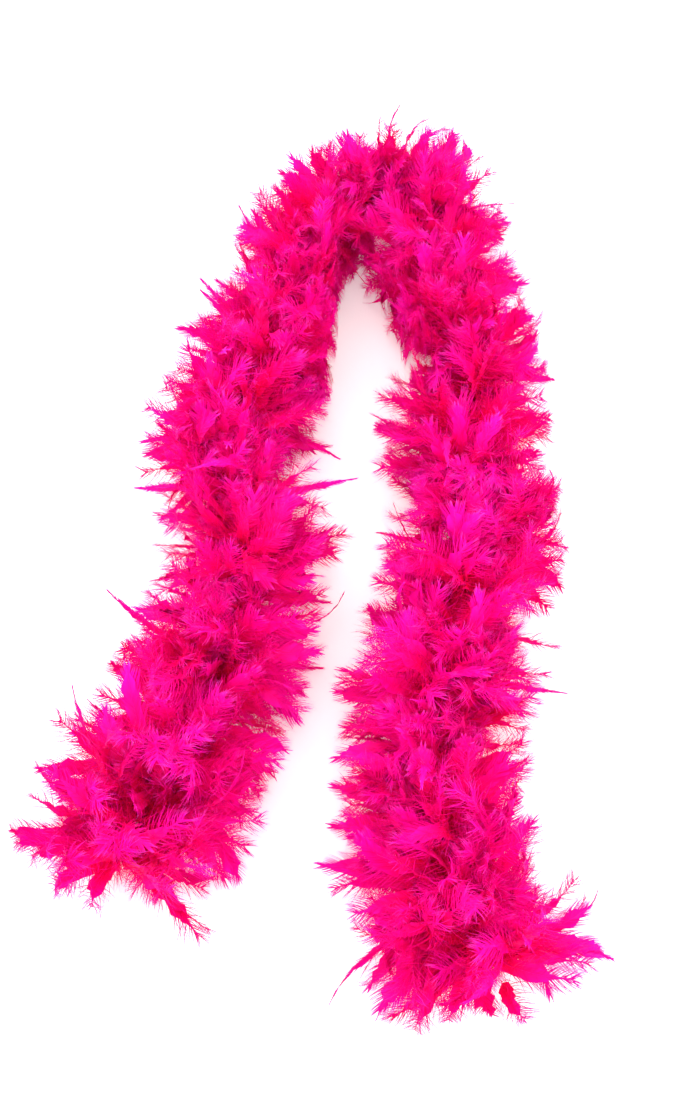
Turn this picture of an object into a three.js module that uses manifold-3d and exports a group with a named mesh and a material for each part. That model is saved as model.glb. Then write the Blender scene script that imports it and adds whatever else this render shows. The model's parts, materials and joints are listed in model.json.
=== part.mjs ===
// A feather boa lying on a table, folded once: a twisted core cord with tufts of feathers bound along it.
// The cord is divided into short links, so that the boa bends between one tuft and the next.
// Millimetres and degrees, +Z up. The table is z = 0.
import * as THREE from "three";
import { mergeVertices } from "three/addons/utils/BufferGeometryUtils.js";
import Module from "manifold-3d";

const wasm = await Module();
wasm.setup();

// Driving dimensions.
const FOLD_LINK = 38; // a link of the tight fold
const LEG_LINK = 87; // a link of either leg
const CORD_RADIUS = 2;
const CORD_SIDES = 8;
const CORD_HEIGHT = 62; // the cord above the table
const REACH = 80; // from the cord to the feather tips
const END_REACH = 96; // the last tuft of each leg fans out
const END_SPLAY = 36; // and its tips lean past the end of the cord
const INNER_REACHES = [34, 34, 56, 68]; // the feathers pressed together between the first links of the legs

// How far a joint bends its two links from a straight line, at most.
const YAW_OUT = 32; // a leg swings away from the other leg
const YAW_IN = 20;
const LIFT = 35; // a leg lifts off the table

// The headings of the links of each leg, from the fold to the end: 0 is -Y, 90 is +X.
const CROWN_X = 44;
const CROWN_Y = 506;
const RIGHT_HEADINGS = [55, -5, 0, 25, 0, -5, 10, -15, -20, 0, 0, 25];
const LEFT_HEADINGS = [-50, -35, -20, -10, -30, -10, 20, -5, -20, -20, -25];
const FOLD_LINKS = 2; // the first links of each list that belong to the fold
const CROWN_HEADING = 110; // along the cord, from the left leg to the right leg

// Feather tufts.
const BLADE_ROLLS = [0, 40, 80, 120, 180, 240, 280, 320]; // each row of feathers, turned from straight up
const FOOT_ROLL = 180; // the row that is pressed against the table
const BLADE_THICKNESS = 2.2;
const TIP_LENGTH = 8; // the least length of a row's tips along the cord
const SHOULDER = 0.84; // where a row starts to round off, as a share of its reach
const TIP_TAPER = 0.22; // and how much of its length it then loses at each end
const COLLAR_RADIUS = 5.4; // the bound quills round the cord
const COLLAR_BORE = 2.5;
const FOOT_WIDTH = 44;
const FOOT_THICKNESS = 2.4;

// Gaps and cord ends.
const TUFT_GAP = 1.6; // between a tuft and the plane through its joint
const CORD_GAP = 1.4; // between the end of a cord link and its joint
const TOUCH_GAP = 0.3;
const WHIPPING_LENGTH = 9;
const WHIPPING_RADIUS = 3.3;
const KNOT_RADIUS = 5;
const KNOT_SQUASH = 0.85;

const feather = { color: 0xe8127c, roughness: 0.85, metalness: 0 };
const cotton = { color: 0xe9dfe2, roughness: 0.9, metalness: 0 };
const thread = { color: 0xf3ecee, roughness: 0.7, metalness: 0 };

const radians = THREE.MathUtils.degToRad;
const halfTan = (degrees) => Math.tan(radians(degrees / 2));

// A closed three.js geometry as a manifold-3d solid, and back.
function solidOf(geometry) {
  const bare = geometry.clone();
  bare.deleteAttribute("normal");
  bare.deleteAttribute("uv");
  const merged = mergeVertices(bare, 1e-4);
  const vertProperties = new Float32Array(merged.attributes.position.array);
  const triVerts = new Uint32Array(merged.index.array);
  return new wasm.Manifold(new wasm.Mesh({ numProp: 3, vertProperties, triVerts }));
}

function geometryOf(solid) {
  const made = solid.getMesh();
  const geometry = new THREE.BufferGeometry();
  geometry.setAttribute("position", new THREE.BufferAttribute(made.vertProperties, 3));
  geometry.setIndex(new THREE.BufferAttribute(made.triVerts, 1));
  return geometry;
}

function named(name, geometry, look) {
  const mesh = new THREE.Mesh(geometry, new THREE.MeshStandardMaterial(look));
  mesh.name = name;
  return mesh;
}

// A closed ring or rod along X, from one place to another.
function alongX(from, to, radius, sides, bore = 0) {
  const half = Math.PI / sides;
  const outline = new THREE.Shape();
  outline.setFromPoints(circlePoints(radius, sides, half));
  if (bore > 0) outline.holes.push(new THREE.Path(circlePoints(bore, sides, half)));
  const rod = new THREE.ExtrudeGeometry(outline, { depth: to - from, bevelEnabled: false });
  return rod.rotateY(Math.PI / 2).translate(from, 0, 0);
}

function circlePoints(radius, sides, start) {
  const points = [];
  for (let i = 0; i < sides; i++) {
    const angle = start + (2 * Math.PI * i) / sides;
    points.push(new THREE.Vector2(radius * Math.cos(angle), radius * Math.sin(angle)));
  }
  return points;
}

// How much room a joint takes from a tuft at a point `left` of the cord and `up` from it.
// bends: the least and the most turn to the left, and the most lift.
function roomAt(joint, left, up) {
  const sideways = Math.max(left * halfTan(joint.least), left * halfTan(joint.most));
  return sideways + Math.max(0, up) * halfTan(joint.lift);
}

// One row of feathers: a flat blade that stands on the cord, turned by `roll`.
function bladeGeometry(link, roll) {
  const left = Math.sin(radians(roll));
  const up = Math.cos(radians(roll));
  const isFoot = roll === FOOT_ROLL;
  const half = link.length / 2 - TUFT_GAP;
  const startShare = roomAt(link.start, left, up);
  const endShare = link.isLast ? -END_SPLAY / link.reach : roomAt(link.end, left, up);
  const narrowing = Math.max(startShare + endShare, 1e-6);
  let reach = isFoot ? CORD_HEIGHT : link.reach;
  if (left * link.inside > 0) reach = Math.min(reach, link.innerReach / Math.abs(left));
  reach = Math.min(reach, (2 * half - TIP_LENGTH) / narrowing);
  const startAt = (radius) => -half + radius * startShare;
  const endAt = (radius) => half - radius * endShare;
  const taper = TIP_TAPER * (endAt(reach) - startAt(reach));
  const root = (COLLAR_RADIUS + COLLAR_BORE) / 2;
  const outline = new THREE.Shape();
  outline.moveTo(startAt(root), root);
  outline.lineTo(startAt(SHOULDER * reach), SHOULDER * reach);
  outline.lineTo(startAt(reach) + taper, reach);
  outline.lineTo(endAt(reach) - taper, reach);
  outline.lineTo(endAt(SHOULDER * reach), SHOULDER * reach);
  outline.lineTo(endAt(root), root);
  const blade = new THREE.ExtrudeGeometry(outline, { depth: BLADE_THICKNESS, bevelEnabled: false });
  blade.translate(0, 0, -BLADE_THICKNESS / 2);
  return blade.rotateX(radians(90 - roll));
}

// The feathers that the boa's weight presses flat against the table.
function footGeometry(link) {
  const side = FOOT_WIDTH / 2;
  const half = link.length / 2 - TUFT_GAP;
  const from = -half + Math.max(roomAt(link.start, side, 0), roomAt(link.start, -side, 0));
  const to = half - Math.max(roomAt(link.end, side, 0), roomAt(link.end, -side, 0));
  const foot = new THREE.BoxGeometry(to - from, FOOT_WIDTH, FOOT_THICKNESS);
  return foot.translate((from + to) / 2, 0, FOOT_THICKNESS / 2 - CORD_HEIGHT);
}

function tuftGeometry(link) {
  const half = link.length / 2 - TUFT_GAP;
  const collarHalf = half - COLLAR_RADIUS * halfTan(LIFT);
  let solid = solidOf(alongX(-collarHalf, collarHalf, COLLAR_RADIUS, CORD_SIDES, COLLAR_BORE));
  for (const roll of BLADE_ROLLS) solid = solid.add(solidOf(bladeGeometry(link, roll)));
  return geometryOf(solid.add(solidOf(footGeometry(link))));
}

function cordGeometry(link) {
  const half = link.length / 2 - CORD_GAP;
  const extra = link.isLast ? CORD_GAP + WHIPPING_LENGTH : 0;
  return alongX(-half, half + extra, CORD_RADIUS, CORD_SIDES);
}

// The thread bound round the end of the cord, and the knot beyond it.
function whippingGeometry(link) {
  const from = link.length / 2;
  return alongX(from, from + WHIPPING_LENGTH, WHIPPING_RADIUS, CORD_SIDES, CORD_RADIUS + TOUCH_GAP);
}

function knotGeometry(link) {
  const knot = new THREE.SphereGeometry(KNOT_RADIUS, 10, 6);
  const centre = link.length / 2 + WHIPPING_LENGTH + TOUCH_GAP + KNOT_RADIUS * KNOT_SQUASH;
  return knot.rotateY(Math.PI / 2).scale(KNOT_SQUASH, 1, 1).translate(centre, 0, 0);
}

// The pieces of one link, round the middle of its cord.
function linkGroup(link) {
  const group = new THREE.Group();
  group.add(named(link.cordName, cordGeometry(link), cotton));
  group.add(named(link.tuftName, tuftGeometry(link), feather));
  if (link.isLast) {
    group.add(named(link.side + "_end_whipping", whippingGeometry(link), thread));
    group.add(named(link.side + "_end_knot", knotGeometry(link), cotton));
  }
  return group;
}

// A joint that turns its links sideways by `bend` at rest: fold joints only open, and the legs' joints
// swing and lift by turns.
function jointOf(bend, index, inside) {
  const joint = { least: bend, most: bend, lift: 0 };
  if (index < FOLD_LINKS) {
    joint.least = Math.min(bend, 0);
    joint.most = Math.max(bend, 0);
  } else if ((index - FOLD_LINKS) % 2 === 1) {
    joint.lift = LIFT;
  } else {
    joint.least = bend - (inside > 0 ? YAW_OUT : YAW_IN);
    joint.most = bend + (inside > 0 ? YAW_IN : YAW_OUT);
  }
  return joint;
}

// The joints of one leg, each with its bend at rest. inside is 1 where the other leg is on the left.
function jointsOf(headings, startHeading, inside) {
  return headings.map((heading, i) => {
    const before = i === 0 ? startHeading : headings[i - 1];
    return jointOf(heading - before, i, inside);
  });
}

// Builds one leg on the crown as a chain of groups, each turned by its joint and holding the next.
function addLeg(crown, side, headings, startHeading, inside) {
  const joints = jointsOf(headings, startHeading, inside);
  let parent = crown;
  let from = FOLD_LINK / 2;
  headings.forEach((heading, i) => {
    const inFold = i < FOLD_LINKS;
    const isLast = i === headings.length - 1;
    const number = String(i + 1).padStart(2, "0");
    const length = inFold ? FOLD_LINK : LEG_LINK;
    const link = {
      side,
      inside,
      length,
      isLast,
      start: joints[i],
      end: isLast ? { least: 0, most: 0, lift: 0 } : joints[i + 1],
      reach: isLast ? END_REACH : REACH,
      innerReach: INNER_REACHES[i] ?? END_REACH,
      cordName: `${side}_core_cord_${number}`,
      tuftName: `${side}_feather_tuft_${number}`,
    };
    const joint = new THREE.Group();
    joint.name = `${side}_joint_${number}`;
    joint.position.x = from;
    joint.rotation.z = radians(heading - (i === 0 ? startHeading : headings[i - 1]));
    const pieces = linkGroup(link);
    pieces.position.x = length / 2;
    joint.add(pieces);
    parent.add(joint);
    parent = joint;
    from = length;
  });
  return joints[0];
}

// Turns a group whose cord lies along +X to a heading.
function turned(group, heading) {
  group.rotation.z = radians(heading - 90);
  return group;
}

const boa = new THREE.Group();
const backHeading = CROWN_HEADING - 180;
const rightFrame = turned(new THREE.Group(), CROWN_HEADING);
const leftFrame = turned(new THREE.Group(), backHeading);
const rightJoint = addLeg(rightFrame, "right", RIGHT_HEADINGS, CROWN_HEADING, -1);
const leftJoint = addLeg(leftFrame, "left", LEFT_HEADINGS, backHeading, 1);

// Seen from the crown's start, the left leg's first joint turns the same way as the right leg's.
const crownLink = {
  inside: -1,
  length: FOLD_LINK,
  isLast: false,
  start: { least: -leftJoint.most, most: -leftJoint.least, lift: 0 },
  end: rightJoint,
  reach: REACH,
  innerReach: INNER_REACHES[0],
  cordName: "crown_core_cord",
  tuftName: "crown_feather_tuft",
};
boa.add(turned(linkGroup(crownLink), CROWN_HEADING), rightFrame, leftFrame);
boa.children.forEach((child) => child.position.add(new THREE.Vector3(CROWN_X, CROWN_Y, CORD_HEIGHT)));

// The origin is the middle of the boa's footprint, on the table.
const box = new THREE.Box3().setFromObject(boa, true);
const middle = box.getCenter(new THREE.Vector3());
boa.children.forEach((child) => child.position.sub(new THREE.Vector3(middle.x, middle.y, 0)));

export default boa;
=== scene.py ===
"""A hot pink feather boa on a white table, folded once: plumes, twisted cord, bindings and knots."""

import json
import math

import bpy
import numpy as np
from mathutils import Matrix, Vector

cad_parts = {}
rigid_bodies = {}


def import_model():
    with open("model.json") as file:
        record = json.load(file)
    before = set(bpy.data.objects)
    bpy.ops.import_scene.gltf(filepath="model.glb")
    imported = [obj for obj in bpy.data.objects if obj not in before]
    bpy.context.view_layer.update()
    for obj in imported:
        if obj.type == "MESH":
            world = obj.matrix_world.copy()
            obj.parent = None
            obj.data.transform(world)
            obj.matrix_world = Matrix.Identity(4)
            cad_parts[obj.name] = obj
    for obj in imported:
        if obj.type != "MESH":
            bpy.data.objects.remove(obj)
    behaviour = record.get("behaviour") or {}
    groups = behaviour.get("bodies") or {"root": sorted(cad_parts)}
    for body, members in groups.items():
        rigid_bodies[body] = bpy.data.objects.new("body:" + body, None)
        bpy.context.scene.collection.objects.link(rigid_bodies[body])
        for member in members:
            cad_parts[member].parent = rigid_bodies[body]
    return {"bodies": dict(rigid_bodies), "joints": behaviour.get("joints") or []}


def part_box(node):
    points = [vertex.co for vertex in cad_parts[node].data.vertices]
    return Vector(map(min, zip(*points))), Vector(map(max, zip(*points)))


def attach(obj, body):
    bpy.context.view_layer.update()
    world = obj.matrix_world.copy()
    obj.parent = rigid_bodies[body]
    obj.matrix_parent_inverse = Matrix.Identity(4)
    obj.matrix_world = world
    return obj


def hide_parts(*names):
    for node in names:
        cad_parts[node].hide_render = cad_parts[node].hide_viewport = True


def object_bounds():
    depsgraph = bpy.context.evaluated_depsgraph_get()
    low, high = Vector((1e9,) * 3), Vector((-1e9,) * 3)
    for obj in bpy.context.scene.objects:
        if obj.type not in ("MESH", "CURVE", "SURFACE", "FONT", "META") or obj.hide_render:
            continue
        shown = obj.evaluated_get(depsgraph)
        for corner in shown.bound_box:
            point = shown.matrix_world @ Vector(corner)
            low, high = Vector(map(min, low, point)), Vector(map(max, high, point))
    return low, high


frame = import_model()
cad_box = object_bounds()

SEED = 41
UP = np.array([0.0, 0.0, 1.0])
WHITE = (1.0, 1.0, 1.0)

# The boa is one path of links, from the end of the left leg over the crown to the end of the right leg.
JOINT_AT = {joint["child"]: Vector(joint["pos_m"]) for joint in frame["joints"]}
SIDES = ("left", "right")


def middle(node):
    low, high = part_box(node)
    return (low + high) / 2


def leg_points(side):
    """The joints of a leg, from the crown outwards, and the end of its cord."""
    names = sorted(body for body in frame["bodies"] if body.startswith(side + "_link_"))
    return names, [JOINT_AT[name] for name in names] + [middle(side + "_end_whipping")]


def boa_links():
    """(body, start, end) of each link in order."""
    left_names, left_points = leg_points("left")
    right_names, right_points = leg_points("right")
    bodies = left_names[::-1] + ["crown"] + right_names
    points = left_points[::-1] + right_points
    return [(body, np.array(start), np.array(end)) for body, start, end in zip(bodies, points, points[1:])]


LINKS = boa_links()
CROWN = sum((np.array([start, end]) for body, start, end in LINKS if body == "crown")).mean(axis=0)
END_BODIES = {LINKS[0][0]: -1, LINKS[-1][0]: 1}  # which way the cord ends


def node_of(body, kind):
    if body == "crown":
        return "crown_" + kind
    return body.replace("_link_", "_" + kind + "_")


# ---------------------------------------------------------------- camera and light

CAMERA_ELEVATION = math.radians(60)
CAMERA_DISTANCE = 1.36
CAMERA_LENS = 44
AIM_LEFT = 0.044  # where the camera looks, from the crown
AIM_BELOW = 0.506
AIM_HEIGHT = 0.060
CAMERA_AIM = Vector((CROWN[0] - AIM_LEFT, CROWN[1] - AIM_BELOW, AIM_HEIGHT))
SURROUND_STRENGTH = 1.6
SOFTBOX_SIZE = 1.6
KEY_PLACE = (-0.7, 0.7, 1.9)
KEY_WATTS = 13
FILL_PLACE = (1.2, -1.1, 1.6)
FILL_WATTS = 6
TABLE_SIZE = 9


def add_camera():
    data = bpy.data.cameras.new("camera")
    data.lens = CAMERA_LENS
    data.clip_start = 0.01
    camera = bpy.data.objects.new("camera", data)
    back = Vector((0, -math.cos(CAMERA_ELEVATION), math.sin(CAMERA_ELEVATION)))
    camera.location = CAMERA_AIM + CAMERA_DISTANCE * back
    camera.rotation_euler = (math.pi / 2 - CAMERA_ELEVATION, 0, 0)
    bpy.context.scene.collection.objects.link(camera)
    bpy.context.scene.camera = camera


def add_softbox(name, place, watts):
    """A square light that faces the frame's origin."""
    data = bpy.data.lights.new(name, "AREA")
    data.shape = "SQUARE"
    data.size = SOFTBOX_SIZE
    data.energy = watts
    light = bpy.data.objects.new(name, data)
    light.location = place
    light.rotation_euler = Vector(place).to_track_quat("Z", "Y").to_euler()
    bpy.context.scene.collection.objects.link(light)


def add_studio():
    world = bpy.data.worlds.new("studio")
    world.use_nodes = True
    background = world.node_tree.nodes["Background"]
    background.inputs["Color"].default_value = (*WHITE, 1)
    background.inputs["Strength"].default_value = SURROUND_STRENGTH
    bpy.context.scene.world = world
    add_softbox("key", KEY_PLACE, KEY_WATTS)
    add_softbox("fill", FILL_PLACE, FILL_WATTS)
    bpy.context.scene.view_settings.view_transform = "Standard"
    bpy.ops.mesh.primitive_plane_add(size=TABLE_SIZE, location=(0, 0, 0))
    floor = bpy.context.object
    floor.name = "table"
    floor.data.materials.append(table_material())


# ---------------------------------------------------------------- materials


def gray(value):
    return (value, value, value)


# The stops of a ramp are (place, colour). The dyes run from the cord, at 0, to the tips of the barbs, at 1,
# with painted light on top: deep red towards the cord as painted shade of the deep fluff, and paler and
# pinker towards the tips as a painted glow of light shining through them.
CRIMSON = [
    (0.0, (0.99, 0.0, 0.03)),
    (0.35, (0.99, 0.0, 0.09)),
    (0.8, (0.98, 0.0, 0.27)),
    (1.0, (0.96, 0.03, 0.50)),
]
MAGENTA = [
    (0.0, (0.99, 0.0, 0.05)),
    (0.35, (0.99, 0.0, 0.18)),
    (0.8, (0.98, 0.002, 0.47)),
    (1.0, (0.96, 0.08, 0.68)),
]
STREAKS = [(0.3, gray(0.94)), (0.7, WHITE)]
STREAK_SCALE = (90, 7, 1)
TABLE_TONES = [(0.3, gray(0.95)), (0.7, gray(0.97))]
TABLE_SCALE = 3.0
TABLE_GLOW = 0.35  # so that the table looks pure white
COTTON_LIGHT = (0.86, 0.82, 0.83)
COTTON_DARK = (0.66, 0.60, 0.62)
THREAD_LIGHT = (0.90, 0.87, 0.88)
THREAD_DARK = (0.74, 0.70, 0.72)
FIBRE_SCALE = (14, 60, 1)
FIBRE_DEPTH = 0.0002
SHEEN_PINK = (1.0, 0.05, 0.45)


def new_material(name):
    material = bpy.data.materials.new(name)
    material.use_nodes = True
    tree = material.node_tree
    return material, tree, tree.nodes["Principled BSDF"]


def add_node(tree, kind, **settings):
    """A node whose properties or inputs of those names are set."""
    node = tree.nodes.new(kind)
    for key, value in settings.items():
        if hasattr(node, key):
            setattr(node, key, value)
        else:
            node.inputs[key].default_value = value
    return node


def ramp(tree, source, stops):
    """A colour ramp over the source, with its stops as (place, colour)."""
    node = tree.nodes.new("ShaderNodeValToRGB")
    elements = node.color_ramp.elements
    while len(elements) < len(stops):
        elements.new(0.5)
    for element, (place, color) in zip(elements, stops):
        element.position = place
        element.color = (*color, 1)
    tree.links.new(source, node.inputs["Fac"])
    return node


def table_material():
    material, tree, shader = new_material("table")
    noise = add_node(tree, "ShaderNodeTexNoise", Scale=TABLE_SCALE)
    tone = ramp(tree, noise.outputs["Fac"], TABLE_TONES)
    tree.links.new(tone.outputs["Color"], shader.inputs["Base Color"])
    shader.inputs["Roughness"].default_value = 0.9
    shader.inputs["Emission Color"].default_value = (*WHITE, 1)
    shader.inputs["Emission Strength"].default_value = TABLE_GLOW
    return material


def feather_material():
    """Dyed plumage, with painted shade and a painted glow in its colour. The UV map's u is each feather's
    own tint, and v runs from the cord to the tips, deep red near the cord as painted shade and paler at the
    tips as a painted glow.
    """
    material, tree, shader = new_material("dyed_plumage_and_painted_light")
    place = add_node(tree, "ShaderNodeUVMap", uv_map="OFBake")
    split = add_node(tree, "ShaderNodeSeparateXYZ")
    tree.links.new(place.outputs["UV"], split.inputs[0])
    # Along v both ramps hold painted shade near the cord and a painted glow of light shining through at the
    # tips.
    warm = ramp(tree, split.outputs["Y"], CRIMSON)
    cool = ramp(tree, split.outputs["Y"], MAGENTA)
    mix = add_node(tree, "ShaderNodeMix", data_type="RGBA")
    tree.links.new(split.outputs["X"], mix.inputs[0])
    tree.links.new(warm.outputs["Color"], mix.inputs[6])
    tree.links.new(cool.outputs["Color"], mix.inputs[7])
    streaks = add_node(tree, "ShaderNodeMapping")
    streaks.inputs["Scale"].default_value = STREAK_SCALE
    tree.links.new(place.outputs["UV"], streaks.inputs["Vector"])
    noise = add_node(tree, "ShaderNodeTexNoise", Scale=1.0, Detail=3.0)
    tree.links.new(streaks.outputs["Vector"], noise.inputs["Vector"])
    shade = ramp(tree, noise.outputs["Fac"], STREAKS)
    dye_and_painted_light = add_node(tree, "ShaderNodeMix", data_type="RGBA", blend_type="MULTIPLY")
    dye_and_painted_light.inputs[0].default_value = 1.0
    tree.links.new(mix.outputs[2], dye_and_painted_light.inputs[6])
    tree.links.new(shade.outputs["Color"], dye_and_painted_light.inputs[7])
    tree.links.new(dye_and_painted_light.outputs[2], shader.inputs["Base Color"])
    shader.inputs["Roughness"].default_value = 0.55
    shader.inputs["Specular IOR Level"].default_value = 0.06
    shader.inputs["Sheen Weight"].default_value = 0.08
    shader.inputs["Sheen Roughness"].default_value = 0.4
    shader.inputs["Sheen Tint"].default_value = (*SHEEN_PINK, 1)
    return material


def cotton_material(name, light, dark):
    """Twisted cotton: its fibres as fine streaks along each strand."""
    material, tree, shader = new_material(name)
    place = add_node(tree, "ShaderNodeUVMap", uv_map="OFBake")
    stretch = add_node(tree, "ShaderNodeMapping")
    stretch.inputs["Scale"].default_value = FIBRE_SCALE
    tree.links.new(place.outputs["UV"], stretch.inputs["Vector"])
    noise = add_node(tree, "ShaderNodeTexNoise", Scale=1.0, Detail=4.0)
    tree.links.new(stretch.outputs["Vector"], noise.inputs["Vector"])
    tone = ramp(tree, noise.outputs["Fac"], [(0.35, dark), (0.65, light)])
    tree.links.new(tone.outputs["Color"], shader.inputs["Base Color"])
    bump = add_node(tree, "ShaderNodeBump", Strength=0.5, Distance=FIBRE_DEPTH)
    tree.links.new(noise.outputs["Fac"], bump.inputs["Height"])
    tree.links.new(bump.outputs["Normal"], shader.inputs["Normal"])
    shader.inputs["Roughness"].default_value = 0.85
    shader.inputs["Sheen Weight"].default_value = 0.2
    return material


# ---------------------------------------------------------------- meshes

LEAST_LENGTH = 1e-12  # so that a vector without length isn't divided by zero


def mesh_piece(name, points, quads, uv, material):
    """A mesh of quads from arrays: points (n, 3), quads (m, 4), uv (n, 2)."""
    mesh = bpy.data.meshes.new(name)
    mesh.vertices.add(len(points))
    mesh.vertices.foreach_set("co", points.astype(np.float32).ravel())
    mesh.loops.add(quads.size)
    mesh.loops.foreach_set("vertex_index", quads.astype(np.int32).ravel())
    mesh.polygons.add(len(quads))
    mesh.polygons.foreach_set("loop_start", np.arange(0, quads.size, 4, dtype=np.int32))
    mesh.polygons.foreach_set("use_smooth", np.ones(len(quads), bool))
    layer = mesh.uv_layers.new(name="OFBake")
    layer.data.foreach_set("uv", uv[quads.ravel()].astype(np.float32).ravel())
    mesh.update(calc_edges=True)
    mesh.materials.append(material)
    piece = bpy.data.objects.new(name, mesh)
    bpy.context.scene.collection.objects.link(piece)
    return piece


def unit(vectors):
    return vectors / np.maximum(np.linalg.norm(vectors, axis=-1, keepdims=True), LEAST_LENGTH)


def strip_quads(strips, stations):
    """The quads of many ribbons, each of `stations` pairs of points, stored one ribbon after another."""
    first = (np.arange(strips) * stations * 2)[:, None] + (np.arange(stations - 1) * 2)[None, :]
    first = first.ravel()
    return np.stack([first, first + 1, first + 3, first + 2], axis=1)


# ---------------------------------------------------------------- feathers

# Places along a quill run from 0 at the cord to 1 at its tip. Angles are in radians, and widths are half
# widths. A pair of numbers is the least and the most of a random draw, unless its comment says otherwise.
QUILL_STATIONS = 10
QUILL_SIDES = 3
QUILL_THICKNESS = 0.00055
QUILL_TAPER = 0.2  # its thickness at the tip, as a share
QUILL_CURL_POWER = 1.4  # the curl gathers towards the tip
QUILL_SWEEP = 0.22  # the spread of its sideways bend
QUILL_SWEEP_POWER = 1.3

BARBS = 56  # on each side of a quill
BARB_STATIONS = 5
BARB_CROWDING = 1.4  # above 1, they stand closer towards the tip
BARB_START = 0.03
BARB_UNFOLD = 0.55  # the share of its lean that a barb loses along its length
BARB_UNEVEN = 0.005  # the spread of their places
BARB_ROLL = 0.3  # the spread of their turn about their own length
BARB_TAPER_POWER = 1.5  # they taper mostly towards their tips
CLUMPS = 6  # groups of barbs that hold together, on each side of a quill
CLUMP_HOLD = 0.4  # how far a barb's tip may be drawn to the middle of its clump
CLUMP_HOLD_POWER = 1.6
CLUMP_LEANS = (-0.08, 0.08)  # what the barbs of a clump in a vane share
CLUMP_TILTS = (-0.1, 0.1)
CLUMP_DROOPS = (-0.15, 0.2)
DOWN_LENGTH = 0.029
VANE_LENGTH = 0.027
DOWN_WIDTH = 0.00027
VANE_WIDTH = 0.00045
TIP_WIDTH = 0.00005

VANE_START = 0.2  # the down gives way to the vane between these places
VANE_FULL = 0.55
TIP_START = 0.55  # the barbs of a pointed feather shorten from here on
BLUNT_LATER = 0.25  # and those of a blunt feather start this much later
TIP_SHORTER = 0.4  # how much shorter the barbs are at the tip
VANE_TIP_SHORTER = 0.25  # and how much more in a firm vane
DOWN_LEAN = 1.05  # between a barb and its quill, at the cord
DOWN_LEAN_LOSS = 0.3  # how much less at the tip
VANE_LEAN = 0.8
VANE_LEAN_LOSS = 0.25
DOWN_LENGTH_SPREAD = 0.14
DOWN_LEAN_SPREAD = 0.24
DOWN_TILT = 0.7  # the spread of its tilt out of the feather's plane, at the cord
DOWN_TILT_LOSS = 0.5  # how much less at the tip
DOWN_DROOP = (0.1, 0.7)  # the mean and spread of how far it bends back
VANE_TILT = 0.05
VANE_DROOP = 0.15
TIP_CLOSING = 0.7  # the share of its lean that a vane's last barb loses
BLUNT_OPENING = 0.3  # and how much less of it in a blunt feather

WEB_ROWS = 18  # the web is the dense inner part of a feather, where its barbs can't be told apart
WEB_COLUMNS = (0, 2, 3)  # the barb stations that it reaches
WEB_START = 0.05
WEB_BREADTH = 0.5  # how long the curves that it follows are, as a share of the barbs' length
VANE_WEB_BREADTH = 0.25  # and this much more in a firm vane
WEB_FADE = 0.6  # how much less the web of a vane fades out at the tip
WEB_FADE_START = 0.5
WEB_FADE_END = 0.85
VANE_FADE_LATER = (0.25, 0.15)  # how much later the fade of a vane starts and ends
WEB_EDGES = (0.85, 1.1)  # how uneven its outer edge is
WEB_LEAN_SPREAD = 0.06
WEB_TILT = (0.04, 0.16)  # mean and spread
WEB_DROOP = (0.15, 0.15)  # mean and spread

UV_EDGE = 0.012  # half of a ribbon's width in the map
FAR_START = 0.1  # the map's v at the cord, and what it gains along the quill and along a barb
FAR_QUILL = 0.55
FAR_BARB = 0.33
FAR_OF_QUILL = (0.35, 0.9)  # v at the two ends of a quill, lighter than the barbs beside it


def smoothstep(low, high, value):
    share = np.clip((value - low) / (high - low), 0, 1)
    return share * share * (3 - 2 * share)


def at_places(values, places):
    """values (n, stations, 3) read at places (n, k) from 0 to 1 along the stations."""
    last = values.shape[1] - 1
    scaled = np.clip(places, 0, 1) * last
    low = np.minimum(scaled.astype(int), last - 1)
    share = (scaled - low)[..., None]
    rows = np.arange(len(values))[:, None]
    return values[rows, low] * (1 - share) + values[rows, low + 1] * share


def quill_curves(rng, feathers):
    """The quills as (points, directions, vane normals), each (n, stations, 3)."""
    out, flat = feathers["out"], feathers["flat"]
    count = len(out)
    side = np.cross(flat, out)
    place = np.linspace(0, 1, QUILL_STATIONS)[None, :, None]
    curl = feathers["curl"][:, None, None] * place**QUILL_CURL_POWER
    sweep = rng.normal(0.0, QUILL_SWEEP, count)[:, None, None] * place**QUILL_SWEEP_POWER
    bent = np.cos(curl) * out[:, None] + np.sin(curl) * flat[:, None]
    along = unit(np.cos(sweep) * bent + np.sin(sweep) * side[:, None])
    normal = unit(np.cos(curl) * flat[:, None] - np.sin(curl) * out[:, None])
    steps = along[:, :-1] * (feathers["length"] / (QUILL_STATIONS - 1))[:, None, None]
    walked = np.concatenate([np.zeros((count, 1, 3)), np.cumsum(steps, axis=1)], axis=1)
    return feathers["base"][:, None] + walked, along, normal


def barb_curves(quills, places, sign, length, lean, tilt, droop):
    """Barbs that leave their quills at `places` (n, k), as (n, k, stations, 3), with their directions."""
    points, along, normal = quills
    root = at_places(points, places)
    forward = unit(at_places(along, places))
    up = unit(at_places(normal, places))
    outward = np.cross(up, forward) * sign
    share = np.linspace(0, 1, BARB_STATIONS)
    angle = (lean[..., None] * (1 - BARB_UNFOLD * share))[..., None]
    rise = (tilt[..., None] - droop[..., None] * share)[..., None]
    in_plane = np.cos(angle) * forward[..., None, :] + np.sin(angle) * outward[..., None, :]
    way = np.cos(rise) * in_plane + np.sin(rise) * up[..., None, :]
    reach = np.cumsum(way[..., :-1, :] * length[..., None, None] / (BARB_STATIONS - 1), axis=-2)
    curve = root[..., None, :] + np.concatenate([np.zeros_like(reach[..., :1, :]), reach], axis=-2)
    return curve, way, up


def along_quill(start, count):
    """Places from start to the tip, closer together towards the tip."""
    return 1 - (1 - np.linspace(start, 1.0, count)) ** BARB_CROWDING


def far_out(places):
    """How far from the cord each station of the barbs at these places is, as the map's v."""
    return FAR_START + FAR_QUILL * places[..., None] + FAR_BARB * np.linspace(0, 1, BARB_STATIONS)


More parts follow.
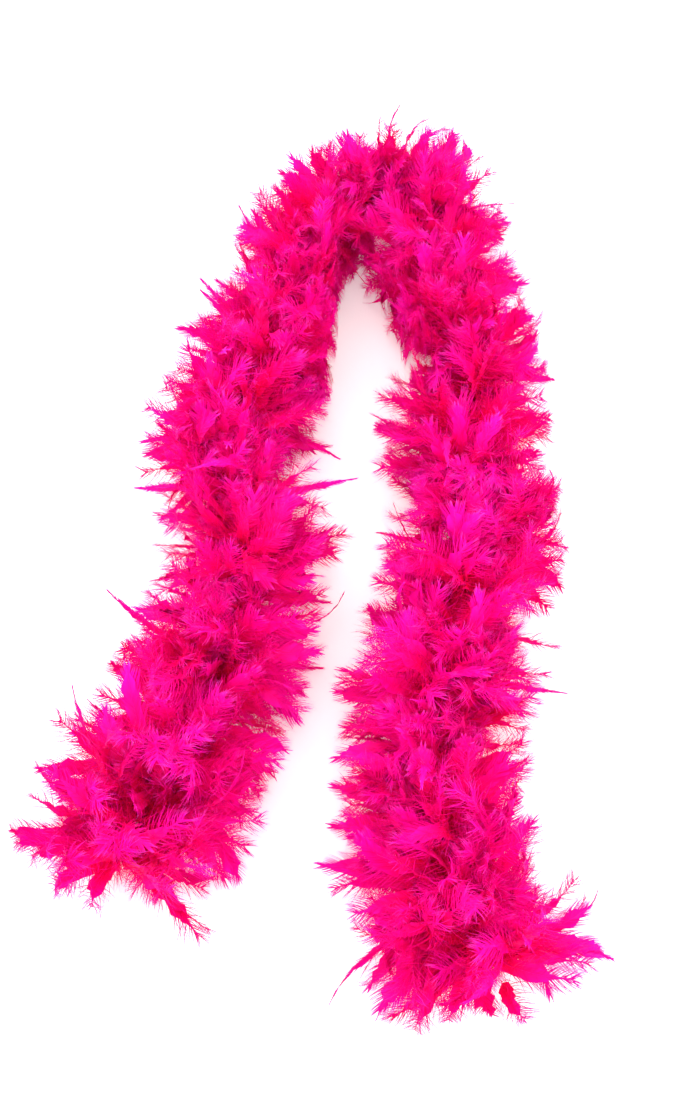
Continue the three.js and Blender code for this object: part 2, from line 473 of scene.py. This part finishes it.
def barb_shape(feathers, places):
    """How much of a vane there is at each place, and the length and lean of its barbs."""
    vane = feathers["firmness"][:, None] * smoothstep(VANE_START, VANE_FULL, places)
    blunt = feathers["bluntness"][:, None]
    tip = smoothstep(TIP_START + BLUNT_LATER * blunt, 1.0, places)
    length = (1 - vane) * DOWN_LENGTH + vane * VANE_LENGTH
    length = length * (1 - (TIP_SHORTER + VANE_TIP_SHORTER * vane) * tip) * feathers["breadth"][:, None]
    down_lean = DOWN_LEAN - DOWN_LEAN_LOSS * places
    vane_lean = VANE_LEAN - VANE_LEAN_LOSS * places
    closing = 1 - (TIP_CLOSING - BLUNT_OPENING * blunt) * tip
    return vane, length, (1 - vane) * down_lean + vane * vane_lean * closing


def web_of_side(rng, feathers, quills, sign):
    """The web on one side of every feather: points (n, rows, columns, 3), and how far out each is."""
    shape = (len(feathers["length"]), WEB_ROWS)
    places = np.broadcast_to(along_quill(WEB_START, WEB_ROWS), shape)
    vane, length, lean = barb_shape(feathers, places)
    fade_start = WEB_FADE_START + VANE_FADE_LATER[0] * vane
    fade_end = WEB_FADE_END + VANE_FADE_LATER[1] * vane
    fade = (1 - WEB_FADE * vane) * smoothstep(fade_start, fade_end, places)
    breadth = WEB_BREADTH + VANE_WEB_BREADTH * vane
    length = length * breadth * (1 - fade) * rng.uniform(*WEB_EDGES, shape)
    lean = lean + rng.normal(0, WEB_LEAN_SPREAD, shape)
    tilt = rng.normal(*WEB_TILT, shape)
    droop = rng.normal(*WEB_DROOP, shape)
    curve, _, _ = barb_curves(quills, places, sign, length, lean, tilt, droop)
    return curve[:, :, WEB_COLUMNS], far_out(places)[:, :, WEB_COLUMNS]


def grid_quads(grids, rows, columns):
    """The quads of many grids of points, stored one after another."""
    start = (np.arange(grids) * rows * columns)[:, None, None]
    row = (np.arange(rows - 1) * columns)[None, :, None]
    corner = start + row + np.arange(columns - 1)[None, None, :]
    return np.stack([corner, corner + 1, corner + columns + 1, corner + columns], axis=-1)


def barbs_of_side(rng, feathers, quills, sign):
    """One side's barbs: ribbon points (n, barbs, stations, 2, 3), and how far out each is."""
    count = len(feathers["length"])
    shape = (count, BARBS)
    places = along_quill(BARB_START, BARBS) + rng.normal(0, BARB_UNEVEN, shape)
    vane, length, lean = barb_shape(feathers, places)
    down = 1 - vane
    clump_at = places * CLUMPS + rng.uniform(0, 1, (count, 1))
    clump = np.floor(clump_at).astype(int)
    rows = np.arange(count)[:, None]

    def per_clump(low, high):
        """A random number for each clump, as a value for each of its barbs."""
        return rng.uniform(low, high, (count, CLUMPS + 2))[rows, clump]

    length = length * (1 + down * rng.normal(0, DOWN_LENGTH_SPREAD, shape))
    lean = lean + down * rng.normal(0, DOWN_LEAN_SPREAD, shape) + vane * per_clump(*CLUMP_LEANS)
    down_tilt = rng.normal(0, 1, shape) * (DOWN_TILT - DOWN_TILT_LOSS * places)
    tilt = down * down_tilt + vane * (VANE_TILT + per_clump(*CLUMP_TILTS))
    droop = down * rng.normal(*DOWN_DROOP, shape) + vane * (VANE_DROOP + per_clump(*CLUMP_DROOPS))
    curve, way, up = barb_curves(quills, places, sign, length, lean, tilt, droop)
    centre = places + (clump + 0.5 - clump_at) / CLUMPS
    held, _, _ = barb_curves(quills, centre, sign, length, lean, tilt, droop)
    share = np.linspace(0, 1, BARB_STATIONS)
    hold = per_clump(0.0, CLUMP_HOLD)[..., None, None] * (share**CLUMP_HOLD_POWER)[:, None]
    curve = curve * (1 - hold) + held * hold
    roll = rng.normal(0, BARB_ROLL, shape)[..., None, None]
    across = unit(np.cross(up[..., None, :], way))
    across = np.cos(roll) * across + np.sin(roll) * np.cross(way, across)
    width = (down * DOWN_WIDTH + vane * VANE_WIDTH)[..., None] * (1 - share**BARB_TAPER_POWER) + TIP_WIDTH
    half = across * width[..., None]
    return np.stack([curve - half, curve + half], axis=-2), far_out(places)


class Pile:
    """Points, quads and uv gathered for one mesh."""

    def __init__(self):
        self.points, self.quads, self.uv, self.total = [], [], [], 0

    def add(self, points, quads, uv):
        self.points.append(points.reshape(-1, 3))
        self.uv.append(uv.reshape(-1, 2))
        self.quads.append(quads.reshape(-1, 4) + self.total)
        self.total += len(self.points[-1])

    def arrays(self):
        return np.concatenate(self.points), np.concatenate(self.quads), np.concatenate(self.uv)


def tube_quads(tubes, stations, sides):
    """The quads of many tubes, stored as rings of `sides` points."""
    start = (np.arange(tubes) * stations * sides)[:, None, None]
    station = (np.arange(stations - 1) * sides)[None, :, None]
    corner = np.arange(sides)[None, None, :]
    a = start + station + corner
    b = start + station + (corner + 1) % sides
    return np.stack([a, b, b + sides, a + sides], axis=-1)


def quill_rings(quills, tint):
    """The quills' surfaces as rings of points (n, stations, sides, 3), and their uv."""
    points, along, normal = quills
    thick = QUILL_THICKNESS * np.linspace(1, QUILL_TAPER, QUILL_STATIONS)[None, :, None]
    side = np.cross(normal, along)
    corners = [math.tau * corner / QUILL_SIDES for corner in range(QUILL_SIDES)]
    ring = np.stack([points + thick * (math.cos(a) * normal + math.sin(a) * side) for a in corners], axis=2)
    v = np.broadcast_to(np.linspace(*FAR_OF_QUILL, QUILL_STATIONS)[:, None], ring.shape[:3])
    u = np.broadcast_to(tint, ring.shape[:3]) + UV_EDGE * np.linspace(-1, 1, QUILL_SIDES)
    return ring, np.stack([u, v], -1)


def feather_arrays(rng, feathers):
    """The mesh of feathers given as arrays: base, out, flat, length, breadth, curl and so on."""
    quills = quill_curves(rng, feathers)
    tint = feathers["tint"][:, None, None]
    pile = Pile()
    for sign in (-1, 1):
        ribbons, far = barbs_of_side(rng, feathers, quills, sign)
        u = np.broadcast_to(tint, far.shape)
        uv = np.stack([np.stack([u - UV_EDGE, far], -1), np.stack([u + UV_EDGE, far], -1)], axis=-2)
        pile.add(ribbons, strip_quads(far.shape[0] * BARBS, BARB_STATIONS), uv)
        web, far = web_of_side(rng, feathers, quills, sign)
        u = tint + sign * UV_EDGE * np.linspace(0, 1, len(WEB_COLUMNS))
        uv = np.stack([np.broadcast_to(u, far.shape), far], -1)
        pile.add(web, grid_quads(len(web), WEB_ROWS, len(WEB_COLUMNS)), uv)
    ring, uv = quill_rings(quills, tint)
    pile.add(ring, tube_quads(len(ring), QUILL_STATIONS, QUILL_SIDES), uv)
    return pile.arrays()


# ---------------------------------------------------------------- tufts

FEATHERS_PER_METRE = 1300
FEATHER_LENGTH = 0.089
BUNDLE = 4  # feathers that lie together
CORD_RADIUS = 0.002

FOLD_LINK_LIMIT = 0.06  # the links of the fold are shorter than this
FOLD_FULLNESS = 1.25  # how many times as many feathers they have per metre
FOLD_LENGTH = 0.92  # and how long those are, as a share
END_FEATHERS = 60  # and more on the last tuft of each leg
END_LENGTH = 1.17  # and how long all of its feathers are, as a share
END_LEAN = 0.85  # how far its upper feathers lean past its end, at most
END_LEAN_TURN = 0.45  # the lowest ones may lean less, by twice this share

SHORT_SHARE = 0.3  # short down that hides the cord
FIRM_SHARE = 0.28  # of the others: feathers with a firm vane
STRAY_SHARE = 0.15  # of the firm ones: long narrow feathers that stand out
SHORT_CUT = 0.45  # how much shorter the down is
STRAY_EXTRA = 0.25  # how much longer the strays are
FIRM_EXTRA = 0.1  # and the firmest vanes
LENGTH_LEAST = 0.84  # of the feather length, before that
LENGTH_RANGE = 0.18
FIRM_FIRMNESS = (0.8, 1.0)
SOFT_FIRMNESS = (0.05, 0.45)
BREADTHS = (0.85, 1.1)
STRAY_NARROWER = 0.5
BLUNTNESSES = (0.45, 1)
STRAY_POINTED = 0.6  # how much less blunt the strays are

WHERE_SPREAD = 0.08  # of a bundle's feathers along their link, as a share of it
WHERE_SHARE = 0.95  # of a link, that its bundles are spread over
TURN_SPREAD = 0.42  # round the cord
BUNDLE_LEAN = 0.3  # the spread of the bundles' lean along the cord
LEAN_SPREAD = 0.28  # and of the feathers in a bundle
SHORT_LEAN = 1.2  # how much more the short ones lean
LEAN_APART = 0.8  # between the lean at one end of a link and at its other end
FACING_UP = 0.8  # how strongly the feathers turn their flat side up
FACING_SPREAD = 0.35
CURL_MEAN = 0.45
BUNDLE_CURL = 0.6  # the spread of the bundles' curl
CURL_SPREAD = 0.3
TOP_CURL = 0.6  # how much more the topmost feathers bend over
TINT = (0.5, 0.24)  # the mean and spread of the bundles' place in the map's u
OWN_TINT_SPREAD = 0.08
TINT_LIMITS = (0.02, 0.98)

FLOOR_CLEARANCE = 0.0006  # the lowest feather above the table
PRESSED_HEIGHT = 0.016  # below this, feathers are pressed towards the table
DROOP_HEIGHT = 0.132  # above this, they droop under their own weight
DROOP_ROOM = 0.026
GAP_START = 0.125  # how far below the crown the legs part
GAP_SIDE = 0.050  # and how far to the left of it
GAP_SLOPE = 0.6
GAP_WIDTH = 0.055
GAP_ROOM = 0.045
PRESSED_LINKS = range(3, 6)  # the links of each leg that are pressed against the other leg
EDGE_ROOM = 0.03  # the longest strays are held back within this, half of it outside the CAD box


def ease(values, start, room):
    """Values past start, squeezed so that none passes start + room."""
    past = np.maximum(values - start, 0)
    return np.minimum(values, start) + room * (1 - np.exp(-past / room))


def part_legs(body, points):
    """Near the fold, presses what would cross to the other leg against it. The gap widens downwards."""
    below = CROWN[1] - GAP_START - points[:, 1]
    if body.startswith("left"):
        edge = CROWN[0] - GAP_SIDE + GAP_SLOPE * np.maximum(-below, 0)
        points[:, 0] = ease(points[:, 0], edge - GAP_ROOM, GAP_ROOM)
    else:
        edge = CROWN[0] - GAP_SIDE + np.minimum(GAP_SLOPE * below, GAP_WIDTH)
        points[:, 0] = -ease(-points[:, 0], -edge - GAP_ROOM, GAP_ROOM)


def settle(body, points):
    """Presses what is near the table against it, lets the highest tips droop and holds back long strays."""
    if body != "crown" and int(body[-2:]) in PRESSED_LINKS:
        part_legs(body, points)
    points[:, 2] = -ease(-points[:, 2], -PRESSED_HEIGHT, PRESSED_HEIGHT - FLOOR_CLEARANCE)
    points[:, 2] = ease(points[:, 2], DROOP_HEIGHT, DROOP_ROOM)
    for axis in (0, 1):
        edge = max(cad_box[1][axis], -cad_box[0][axis]) - EDGE_ROOM / 2
        points[:, axis] = ease(points[:, axis], edge, EDGE_ROOM)
        points[:, axis] = -ease(-points[:, axis], edge, EDGE_ROOM)
    return points


def even(rng, count):
    """Random shares from 0 to 1 that are evenly spread, in random order."""
    return rng.permutation((np.arange(count) + rng.uniform(0, 1, count)) / count)


def tuft_feathers(rng, start, end, ending):
    """The feathers of one link, bundle by bundle. ending is -1 or 1 where the cord ends, or else 0."""
    length = np.linalg.norm(end - start)
    along = (end - start) / length
    side = np.cross(UP, along)
    in_fold = length < FOLD_LINK_LIMIT
    fullness = FOLD_FULLNESS if in_fold else 1
    size = FEATHER_LENGTH * (FOLD_LENGTH if in_fold else END_LENGTH if ending else 1)
    bundles = round((FEATHERS_PER_METRE * fullness * length + END_FEATHERS * abs(ending)) / BUNDLE)
    count = bundles * BUNDLE

    def with_own(shared, spread):
        """What a bundle's feathers share, with a difference for each of them."""
        return np.repeat(shared, BUNDLE) + rng.normal(0, spread, count)

    where = with_own(even(rng, bundles) - 0.5, WHERE_SPREAD)
    turn = with_own(even(rng, bundles) * math.tau, TURN_SPREAD)
    short = np.repeat(rng.uniform(0, 1, bundles) < SHORT_SHARE, BUNDLE)
    lean = with_own(rng.normal(0, BUNDLE_LEAN, bundles), LEAN_SPREAD)
    lean = lean * (1 + SHORT_LEAN * short) + LEAN_APART * where
    if ending:
        most = END_LEAN * (1 - END_LEAN_TURN + END_LEAN_TURN * np.cos(turn))
        lean = ending * np.minimum(ending * lean, most)
    radial = np.cos(turn)[:, None] * UP + np.sin(turn)[:, None] * side
    out = unit(np.cos(lean)[:, None] * radial + np.sin(lean)[:, None] * along)
    shared_facing = np.repeat(unit(rng.normal(0, 1, (bundles, 3))), BUNDLE, axis=0)
    facing = FACING_UP * UP + shared_facing + rng.normal(0, FACING_SPREAD, (count, 3))
    topmost = np.maximum(np.cos(turn), 0)
    firm = (rng.uniform(0, 1, count) < FIRM_SHARE) & ~short
    stray = firm & (rng.uniform(0, 1, count) < STRAY_SHARE)
    firmness = np.where(firm, rng.uniform(*FIRM_FIRMNESS, count), rng.uniform(*SOFT_FIRMNESS, count))
    length_share = LENGTH_LEAST + FIRM_EXTRA * firmness + rng.uniform(0, LENGTH_RANGE, count)
    breadth = (1 - STRAY_NARROWER * stray) * rng.uniform(*BREADTHS, count)
    curl = with_own(rng.normal(CURL_MEAN, BUNDLE_CURL, bundles), CURL_SPREAD)
    curl = curl + TOP_CURL * topmost + stray * rng.normal(0, BUNDLE_CURL, count)
    bluntness = rng.uniform(*BLUNTNESSES, count) * (1 - STRAY_POINTED * stray)
    tint = with_own(rng.normal(*TINT, bundles), OWN_TINT_SPREAD)
    return {
        "base": start + (WHERE_SHARE * where + 0.5)[:, None] * (end - start) + CORD_RADIUS * radial,
        "out": out,
        "flat": unit(facing - np.sum(facing * out, axis=1, keepdims=True) * out),
        "length": size * length_share * (1 - SHORT_CUT * short + STRAY_EXTRA * stray),
        "breadth": breadth,
        "curl": curl,
        "firmness": firmness,
        "bluntness": bluntness,
        "tint": np.clip(tint, *TINT_LIMITS),
    }


def add_tuft(number, body, start, end, material):
    rng = np.random.default_rng(SEED + number)
    feathers = tuft_feathers(rng, start, end, END_BODIES.get(body, 0))
    points, quads, uv = feather_arrays(rng, feathers)
    piece = mesh_piece("feathers_" + body, settle(body, points), quads, uv, material)
    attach(piece, body)
    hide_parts(node_of(body, "feather_tuft"))


# ---------------------------------------------------------------- cord, bindings and knots

PLY_RADIUS = 0.00105
PLY_PITCH = 0.009
PLY_SIDES = 8
PLY_STATIONS = 12  # in one turn of the twist
THREAD_RADIUS = 0.0004
THREAD_SIDES = 6
THREAD_STATIONS = 18  # in one turn round the cord
WHIPPING_TURNS = 10
WHIPPING_LENGTH = 0.009
WHIPPING_RADIUS = 0.0026
KNOT_SIZE = 0.0014
KNOT_DEPTH = 1.3  # of its curve, in knot sizes
KNOT_STATIONS = 90
KNOT_OPENING = 0.35  # where the knot's curve starts, and how far before a full turn it ends
FRAY_FIBRES = 26
FRAY_START = 0.002
FRAY_LENGTHS = (0.006, 0.010)
FRAY_RADIUS = 0.00012
FRAY_TAPER = 0.6
FRAY_SIDES = 3
FRAY_STATIONS = 6
FRAY_SPREAD = 0.35
FRAY_BEND = 0.0015
CLOSED_RADIUS = 1e-5  # the radius of a tube's closed ends
TUBE_V = (0.01, 0.99)  # the map's v along a tube


def carried_frame(path):
    """Two directions across a path, at each of its points, that turn as little as they can."""
    ways = unit(np.gradient(path, axis=0))
    first = unit(np.cross(ways[0], [0.3, 0.1, 1.0]))
    across = [first]
    for way in ways[1:]:
        across.append(unit(across[-1] - np.dot(across[-1], way) * way))
    across = np.array(across)
    return across, np.cross(ways, across)


def add_tube(pile, path, radius, sides=PLY_SIDES):
    """A closed tube along a path, of one radius or of one for each point."""
    first, second = carried_frame(path)
    radius = np.broadcast_to(radius, len(path))
    path = np.concatenate([path[:1], path, path[-1:]])
    first = np.concatenate([first[:1], first, first[-1:]])
    second = np.concatenate([second[:1], second, second[-1:]])
    radius = np.concatenate([[CLOSED_RADIUS], radius, [CLOSED_RADIUS]])[:, None]
    turns = np.arange(sides) / sides * math.tau
    ring = [path + radius * (math.cos(a) * first + math.sin(a) * second) for a in turns]
    ring = np.stack(ring, axis=1)
    v = np.broadcast_to(np.linspace(*TUBE_V, len(path))[:, None], ring.shape[:2])
    u = np.broadcast_to(np.abs(np.linspace(-1, 1, sides)), ring.shape[:2])
    pile.add(ring, tube_quads(1, len(path), sides), np.stack([u, v], -1))


def add_plies(pile, path):
    """A two-ply cord twisted along a path."""
    first, second = carried_frame(path)
    walked = np.concatenate([[0], np.cumsum(np.linalg.norm(np.diff(path, axis=0), axis=1))])
    for ply in range(2):
        phase = (math.pi * ply + walked / PLY_PITCH * math.tau)[:, None]
        add_tube(pile, path + PLY_RADIUS * (np.cos(phase) * first + np.sin(phase) * second), PLY_RADIUS)


def finish_piece(name, pile, material, body, node):
    piece = mesh_piece(name, *pile.arrays(), material)
    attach(piece, body)
    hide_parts(node)


def add_core(body, start, end, material):
    length = np.linalg.norm(end - start)
    stations = int(length / PLY_PITCH * PLY_STATIONS)
    pile = Pile()
    add_plies(pile, start + np.linspace(0, 1, stations)[:, None] * (end - start))
    finish_piece("cord_" + body, pile, material, body, node_of(body, "core_cord"))


def add_whipping(side, body, centre, along, material):
    """Thread wound round the end of the cord."""
    share = np.linspace(0, 1, WHIPPING_TURNS * THREAD_STATIONS)
    angle = (share * WHIPPING_TURNS * math.tau)[:, None]
    across = np.cross(along, UP)
    round_cord = WHIPPING_RADIUS * (np.cos(angle) * UP + np.sin(angle) * across)
    path = centre + (share - 0.5)[:, None] * WHIPPING_LENGTH * along + round_cord
    pile = Pile()
    add_tube(pile, path, THREAD_RADIUS, THREAD_SIDES)
    finish_piece(side + "_whipping", pile, material, body, side + "_end_whipping")


def add_knot(side, body, centre, along, material):
    """An overhand knot, with the frayed end of the cord beyond it."""
    rng = np.random.default_rng(SEED)
    across = np.cross(along, UP)
    turn = np.linspace(KNOT_OPENING, math.tau - KNOT_OPENING, KNOT_STATIONS)[:, None]
    path = centre + KNOT_SIZE * (
        (np.sin(turn) + 2 * np.sin(2 * turn)) * across
        + (np.cos(turn) - 2 * np.cos(2 * turn)) * along
        - KNOT_DEPTH * np.sin(3 * turn) * UP
    )
    pile = Pile()
    add_plies(pile, path)
    share = np.linspace(0, 1, FRAY_STATIONS)[:, None]
    for _ in range(FRAY_FIBRES):
        spread = rng.normal(0, FRAY_SPREAD, 2)
        way = unit(along + spread[0] * UP + spread[1] * across)
        bend = rng.normal(0, FRAY_BEND, 3)
        fibre = centre + FRAY_START * along + rng.uniform(*FRAY_LENGTHS) * share * way + bend * share**2
        add_tube(pile, fibre, FRAY_RADIUS * (1 - FRAY_TAPER * share[:, 0]), FRAY_SIDES)
    finish_piece(side + "_knot", pile, material, body, side + "_end_knot")


# ---------------------------------------------------------------- the boa


def build_boa():
    plumage = feather_material()
    cotton = cotton_material("twisted_cotton", COTTON_LIGHT, COTTON_DARK)
    thread = cotton_material("binding_thread", THREAD_LIGHT, THREAD_DARK)
    for number, (body, start, end) in enumerate(LINKS):
        add_tuft(number, body, start, end, plumage)
        add_core(body, start, end, cotton)
    for side, (body, start, end) in zip(SIDES, (LINKS[0], LINKS[-1])):
        whipping = np.array(middle(side + "_end_whipping"))
        knot = np.array(middle(side + "_end_knot"))
        along = unit(knot - whipping)
        add_whipping(side, body, whipping, along, thread)
        add_knot(side, body, knot, along, cotton)


add_camera()
add_studio()
build_boa()
